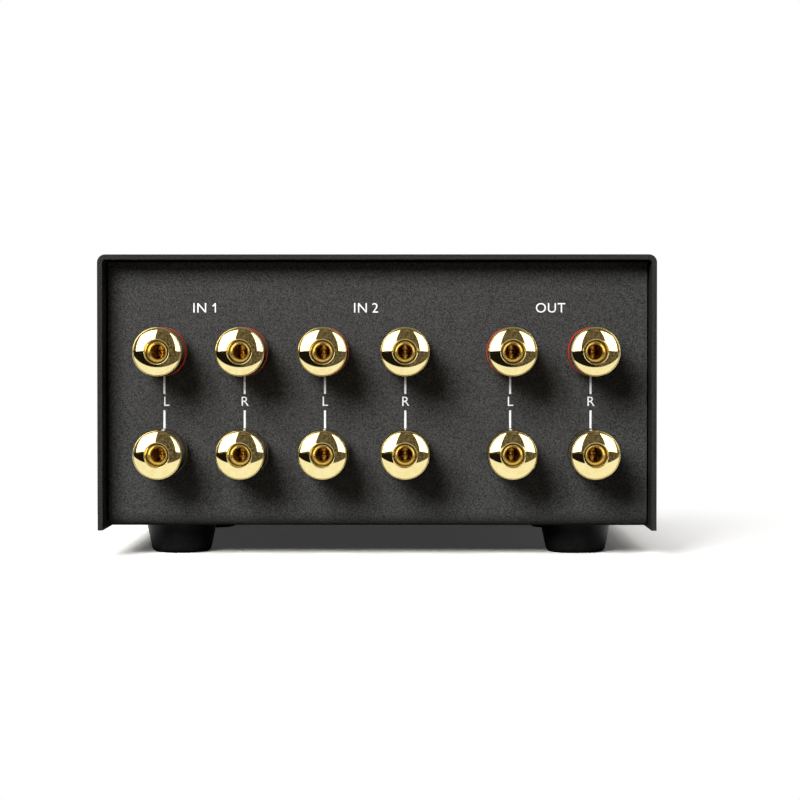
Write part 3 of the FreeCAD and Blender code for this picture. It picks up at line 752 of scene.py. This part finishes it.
def stripe(x, z0, z1, face_y, turn=0.0, about=None):
    """Thin painted line on a wall from z0 to z1, turned about a point if asked."""
    corner = np.array([x - LINE_HALF, face_y - FILM, z0])
    points = corner + CUBE * np.array([2 * LINE_HALF, 2 * FILM, z1 - z0])
    if about is not None:
        dx, dz = points[:, 0] - about.x, points[:, 2] - about.z
        c, s = math.cos(turn), math.sin(turn)
        points[:, 0], points[:, 2] = about.x + c * dx + s * dz, about.z - s * dx + c * dz
    return points, CUBE_FACES.tolist()


print("lines", round(2 * LINE_HALF / MM, 2), "mm wide")


# %% All marks of a wall
def print_film(name, parts, body):
    """All marks of one wall as one mesh, with outward faces."""
    points, faces = [], []
    for p, f in parts:
        offset = sum(len(q) for q in points)
        points.append(p)
        faces.extend([[i + offset for i in face] for face in f])
    mesh = bpy.data.meshes.new(name)
    mesh.from_pydata(np.concatenate(points).tolist(), [], faces)
    weld(mesh)
    work = bmesh.new()
    work.from_mesh(mesh)
    bmesh.ops.recalc_face_normals(work, faces=work.faces)
    work.to_mesh(mesh)
    work.free()
    mesh.materials.append(finishes["mark_white"])
    obj = new_object(name, mesh)
    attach(obj, body)
    print(name, len(parts), "marks")


# %% Rear print
LINE_CLEAR = 7.2 * MM               # from a post's axis to its line's end
LETTER_HEIGHT, HEAD_HEIGHT = 2.75, 2.85
HEAD_RISE = 11.7 * MM               # a heading's foot above the upper posts' axes
WORD_ASIDE, NUMBER_ASIDE = 1.4 * MM, 3.0 * MM

rear_parts = []
for channel, letter in (("in1_left", "L"), ("in1_right", "R"), ("in2_left", "L"),
                        ("in2_right", "R"), ("out_left", "L"), ("out_right", "R")):
    x = middle(f"cap_{channel}_red").x
    upper, lower = middle(f"cap_{channel}_red").z, middle(f"cap_{channel}_black").z
    letter_z = (upper + lower) / 2 + 0.2 * MM       # print sits a little high
    rear_parts.append(stripe(x, letter_z + 2.2 * MM, upper - LINE_CLEAR, panel_y))
    rear_parts.append(stripe(x, lower + LINE_CLEAR, letter_z - 2.7 * MM, panel_y))
    nudge = -0.6 * MM if channel == "in1_left" else 0.0     # this one is off its line
    rear_parts.append(lettering(letter, LETTER_HEIGHT, x + nudge, letter_z - 1.35 * MM,
                                panel_y, 1))
for first, second, text, number in (("in1_left", "in1_right", "IN", "1"),
                                    ("in2_left", "in2_right", "IN", "2"),
                                    ("out_left", "out_right", "OUT", "")):
    x = (middle(f"cap_{first}_red").x + middle(f"cap_{second}_red").x) / 2
    base = middle(f"cap_{first}_red").z + HEAD_RISE
    aside = WORD_ASIDE if number else 0.0
    rear_parts.append(lettering(text, HEAD_HEIGHT, x + aside, base, panel_y, 1))
    place = (HEAD_HEIGHT, x - NUMBER_ASIDE, base, panel_y, 1)
    if number:
        rear_parts.append(numeral_one(*place) if number == "1" else lettering(number, *place))
print_film("panel_print", rear_parts, "case")

# %% Front print
TICK_FROM, TICK_TO = 21.5 * MM, 24.5 * MM       # distances from the knob's axis
NUMBER_FROM, NUMBER_HEIGHT = 28.5 * MM, 3.2

front_parts = []
for degrees, number in ((-30, "1"), (0, "0"), (30, "2")):
    angle = math.radians(degrees)
    front_parts.append(stripe(knob_axis.x, knob_axis.z + TICK_FROM, knob_axis.z + TICK_TO,
                              fascia_y, angle, knob_axis))
    place = (NUMBER_HEIGHT, knob_axis.x + NUMBER_FROM * math.sin(angle),
             knob_axis.z + NUMBER_FROM * math.cos(angle) - NUMBER_HEIGHT * MM / 2, fascia_y, -1)
    front_parts.append(numeral_one(*place) if number == "1" else lettering(number, *place))
print_film("dial_print", front_parts, "case")

# %% [markdown]
# ## The floor
#
# A pale table under the case. Lamps could make it white, but they would burn
# out the gold, so its own material does it, by the kind of ray that meets it.
# To the camera it keeps the shadow near the case and fades to white farther
# off. To polished metal it is a glowing bright table with an edge, which a dome
# shows as a bright crescent; towards the case that glow fades to dark over a
# centimetre, a painted shade for the case's shadow on it. To all other light it
# is a plain grey table. Seen from below it is clear, so that the underside can
# be looked at.

# %% Floor values
TABLE_EDGE = 0.1485         # y where the pale floor ends, as polished metal sees it
EDGE_BLUR = 0.002           # metres over which that edge fades
# painted shade: metal sees the table dark near the case, where the case's shadow falls
TABLE_START = 0.010         # distance from the case where metal sees it begin
TABLE_GREY = 0.16           # the table's colour to all other light
WHITE_BY = 0.09             # distance from the case where the camera sees plain white
WHITE_POWER = 0.45          # how soon it fades to white on the way
# painted light: a faint white glow even right under the case lifts its shadow there
WHITE_LEAST = 0.04          # share of white right under the case
SEEN_COLOUR = (1.3, 1.274, 1.222, 1)    # the shadowed floor's colour to the camera
REACH = 6.0                 # metres from the middle to the floor's end

floor_finish = bpy.data.materials.new("pale_floor")
floor_finish.use_nodes = True
tree = floor_finish.node_tree
print("white from", WHITE_BY, "m, table's edge at", TABLE_EDGE)


# %% Floor helpers
def floor_node(kind, operation=None, **values):
    """Node of the floor's material; values are numbers or outputs, by socket."""
    node = tree.nodes.new(kind)
    if operation:
        node.operation = operation
    for label, value in values.items():
        socket = node.inputs[int(label[1:]) if label[0] == "n" else label.replace("_", " ")]
        if isinstance(value, bpy.types.NodeSocket):
            tree.links.new(value, socket)
        else:
            socket.default_value = value
    return node


def mixed(factor, first, second):
    """First shader where the factor is 0, second where it is 1."""
    return floor_node("ShaderNodeMixShader", Fac=factor, n1=first, n2=second).outputs["Shader"]


def add_stage(name, points, faces, material):
    """Flat thing that belongs to the stage and not to the object."""
    mesh = bpy.data.meshes.new(name)
    mesh.from_pydata(points, [], faces)
    mesh.materials.append(material)
    obj = new_object(name, mesh)
    return obj


# %% How far a place on the floor is from the case's outline
place =tree.nodes.new("ShaderNodeTexCoord").outputs["Object"]
low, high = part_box("top_cover")
across = floor_node("ShaderNodeVectorMath", "SUBTRACT", n0=place,
                    n1=((low.x + high.x) / 2, (low.y + high.y) / 2, 0))
aside = floor_node("ShaderNodeVectorMath", "ABSOLUTE", n0=across.outputs["Vector"])
past = floor_node("ShaderNodeVectorMath", "SUBTRACT", n0=aside.outputs["Vector"],
                  n1=((high.x - low.x) / 2, (high.y - low.y) / 2, 0))
outside = floor_node("ShaderNodeVectorMath", "MAXIMUM", n0=past.outputs["Vector"], n1=(0, 0, 0))
distance = floor_node("ShaderNodeVectorMath", "LENGTH",
                      n0=outside.outputs["Vector"]).outputs["Value"]
print("outline", round((high.x - low.x) / MM, 1), "by", round((high.y - low.y) / MM, 1), "mm")

# %% What each kind of ray meets
# all other light
plain =tree.nodes["Principled BSDF"]
plain.inputs["Base Color"].default_value = (TABLE_GREY, TABLE_GREY, TABLE_GREY, 1)
plain.inputs["Roughness"].default_value = 0.5

# polished metal
# painted shade: the table's glow fades to nothing towards the case, standing for its shadow
begins = floor_node("ShaderNodeMapRange", Value=distance, From_Max=TABLE_START)
depth = floor_node("ShaderNodeSeparateXYZ", Vector=place).outputs["Y"]
ends = floor_node("ShaderNodeMapRange", Value=depth, From_Min=TABLE_EDGE,
                  From_Max=TABLE_EDGE + EDGE_BLUR)
shown = floor_node("ShaderNodeEmission", Strength=begins.outputs["Result"])
clear = tree.nodes.new("ShaderNodeBsdfTransparent").outputs["BSDF"]
mirrored = mixed(ends.outputs["Result"], shown.outputs["Emission"], clear)

# the camera
seen = floor_node("ShaderNodeBsdfDiffuse", Color=SEEN_COLOUR)
share = floor_node("ShaderNodeMapRange", Value=distance, From_Max=WHITE_BY)
# the least share of white is painted light in the case's shadow
whiten = sums(tree, "MAXIMUM", sums(tree, "POWER", share.outputs["Result"], WHITE_POWER),
              WHITE_LEAST)
white = floor_node("ShaderNodeEmission", Strength=1.0)
faded = mixed(whiten, seen.outputs["BSDF"], white.outputs["Emission"])
print("shaders ready:", len(tree.nodes), "nodes")

# %% Floor
rays = tree.nodes.new("ShaderNodeLightPath")
camera_ray = rays.outputs["Is Camera Ray"]
surface = mixed(rays.outputs["Is Glossy Ray"], plain.outputs["BSDF"], mirrored)
surface = mixed(camera_ray, surface, faded)
underneath = tree.nodes.new("ShaderNodeNewGeometry").outputs["Backfacing"]
surface = mixed(sums(tree, "MULTIPLY", underneath, camera_ray), surface, clear)
tree.links.new(surface, tree.nodes["Material Output"].inputs["Surface"])
add_stage("floor", [(-REACH, -REACH, 0), (REACH, -REACH, 0), (REACH, REACH, 0),
                    (-REACH, REACH, 0)], [(0, 1, 2, 3)], floor_finish)
print("floor nodes", len(tree.nodes))

# %% [markdown]
# ## The room
#
# The camera sees plain white behind the case. Polished gold shows what stands
# in front of it, so to metal the room is a dim, slightly mottled brown, with a
# light patch straight ahead, a dark band low on one side and a paler wall
# behind. Furniture could be built for that, but noise on the direction does
# it. All other light gets one faint even value.

# %% Room values
AMBIENT = 0.05                  # what all other light gets
CLUTTER_LIGHT = 0.27            # the mottling's brightest value
BAND_DARK = 0.2                 # how much the low band takes away
BEHIND_LIGHT, AHEAD_LIGHT = 0.3, 0.3
ROOM_COLOUR = (1.0, 0.84, 0.66, 1)

world = bpy.data.worlds.new("room")
bpy.context.scene.world = world
world.use_nodes = True
tree = world.node_tree
background = tree.nodes["Background"]
direction = tree.nodes.new("ShaderNodeTexCoord").outputs["Generated"]
print("ambient", AMBIENT)


# %% What metal sees of the room
def step_up(value, start, end):
    """0 below start and 1 above end, or the other way when start is the higher."""
    node = tree.nodes.new("ShaderNodeMapRange")
    node.inputs["From Min"].default_value = start
    node.inputs["From Max"].default_value = end
    tree.links.new(value, node.inputs["Value"])
    return node.outputs["Result"]


def beyond(normal, start, end):
    """Step on the direction's share along a normal: one flat edge of a screen."""
    node = tree.nodes.new("ShaderNodeVectorMath")
    node.operation = "DOT_PRODUCT"
    node.inputs[1].default_value = normal
    tree.links.new(direction, node.inputs[0])
    return step_up(node.outputs["Value"], start, end)


def times(a, b):
    """Product of two values of the room."""
    return sums(tree, "MULTIPLY", a, b)


behind = beyond((0, 1, 0), -0.15, -0.35)
ahead = beyond((0, 1, 0), 0.86, 0.95)
band = times(beyond((0, 0, 1), 0.07, 0.03), beyond((1, 0, 0), -0.2, 0.3))
clutter = step_up(noise(tree, direction, 9.0, 4.0, 0.65), 0.30, 0.74)
dim = sums(tree, "SUBTRACT", times(clutter, CLUTTER_LIGHT), times(band, BAND_DARK))
room = sums(tree, "ADD", sums(tree, "MAXIMUM", dim, 0.01), times(behind, BEHIND_LIGHT))
room = sums(tree, "ADD", room, times(ahead, AHEAD_LIGHT))
print("room's brightest", CLUTTER_LIGHT + max(BEHIND_LIGHT, AHEAD_LIGHT))

# %% Room
rays = tree.nodes.new("ShaderNodeLightPath")
glossy_ray, camera_ray = rays.outputs["Is Glossy Ray"], rays.outputs["Is Camera Ray"]
tint = tree.nodes.new("ShaderNodeMix")
tint.data_type = "RGBA"
tint.inputs["A"].default_value = (1, 1, 1, 1)
tint.inputs["B"].default_value = ROOM_COLOUR
lit = sums(tree, "MAXIMUM", behind, ahead)
tree.links.new(sums(tree, "SUBTRACT", glossy_ray, lit), tint.inputs["Factor"])
tree.links.new(tint.outputs["Result"], background.inputs["Color"])

glossy_part = times(glossy_ray, sums(tree, "SUBTRACT", room, AMBIENT))
strength = sums(tree, "ADD", glossy_part, AMBIENT)
camera_part = times(camera_ray, sums(tree, "SUBTRACT", 1.0, strength))
tree.links.new(sums(tree, "ADD", strength, camera_part), background.inputs["Strength"])
print("room nodes", len(tree.nodes))

# %% [markdown]
# ## Cards
#
# Two white cards stand on the table in front of the posts, one on each side of
# the camera's line. Only polished metal sees them, so they add no light: they
# are what a dome shows at its upper left and upper right.

# %% Two cards
CARD_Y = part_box(f"cap_{post_names[0]}")[1].y + 0.175


def card(name, x0, x1, z0, z1, strength):
    """Glowing upright rectangle at CARD_Y that only glossy rays meet."""
    glow = bpy.data.materials.new(name)
    glow.use_nodes = True
    tree = glow.node_tree
    tree.nodes.remove(tree.nodes["Principled BSDF"])
    light = tree.nodes.new("ShaderNodeEmission")
    light.inputs["Strength"].default_value = strength
    tree.links.new(light.outputs["Emission"], tree.nodes["Material Output"].inputs["Surface"])
    points = [(x0, CARD_Y, z0), (x1, CARD_Y, z0), (x1, CARD_Y, z1), (x0, CARD_Y, z1)]
    obj = add_stage(name, points, [(0, 1, 2, 3)], glow)
    obj.visible_camera = obj.visible_diffuse = obj.visible_shadow = False
    obj.visible_transmission = obj.visible_volume_scatter = False


card("left_card", 0.103, 0.62, 0.074, 0.58, 2.8)
card("right_card", -0.66, -0.198, 0.074, 0.53, 2.6)
print("cards at y", round(CARD_Y, 3))

# %% [markdown]
# ## Lamps
#
# One soft key from the upper left throws the caps' shadows down to the right,
# and three weak ones open up the side, the top and the front. A lamp mirrored
# in the gold would be a hard patch, so metal doesn't see them.


# %% Four lamps
def softbox(name, place, target, width, height, power):
    """Rectangular lamp at a place, aimed at a target."""
    lamp = bpy.data.lights.new(name, "AREA")
    lamp.shape, lamp.size, lamp.size_y, lamp.energy = "RECTANGLE", width, height, power
    obj = new_object(name, lamp)
    aim = Vector(target) - Vector(place)
    obj.rotation_euler = aim.to_track_quat("-Z", "Y").to_euler()
    obj.location = place
    obj.visible_camera = obj.visible_glossy = False


lamps = [
    # name, place, target, width and height in metres, power in watts
    ("key_box", (0.46, 1.17, 0.65), (0.0, 0.08, 0.05), 0.55, 0.55, 34.5),
    ("side_strip", (-0.95, 0.42, 0.45), (0.0, 0.08, 0.05), 0.35, 0.7, 1.5),
    ("top_box", (0.1, -0.1, 1.3), (0.0, 0.0, 0.0), 0.9, 0.9, 4.0),
    ("front_fill", (-0.35, -1.1, 0.7), (0.0, -0.08, 0.05), 0.6, 0.6, 8.0),
]
for lamp_row in lamps:
    softbox(*lamp_row)
print("lamps", len(lamps))

# %% [markdown]
# ## Camera
#
# A long lens level with the upper posts, a little left of the middle, so that
# the case looks nearly as flat as a drawing and each dome shows the same room.

# %% Camera
WIDE, SENSOR = 800.0, 36.0                  # render's width in pixels, sensor's in mm
LENS_PIXELS = 2471.0                        # the lens's length in those pixels
AIM_SIDE, AIM_DOWN = 15.85, 48.9            # the aim's shift, in the same pixels
EYE = (-0.0115, panel_y + 0.738, 0.0615)
camera_data = bpy.data.cameras.new("camera")
camera_data.sensor_width = SENSOR
camera_data.lens = LENS_PIXELS * SENSOR / WIDE
camera = new_object("camera", camera_data)
yaw, pitch = math.atan(AIM_SIDE / LENS_PIXELS), math.atan(AIM_DOWN / LENS_PIXELS)
camera.location = EYE
camera.rotation_euler = (math.pi / 2 - pitch, 0.0, math.pi + yaw)
bpy.context.scene.camera = camera
bpy.context.scene.view_settings.view_transform = "Standard"
print("lens", round(camera_data.lens, 1), "mm")
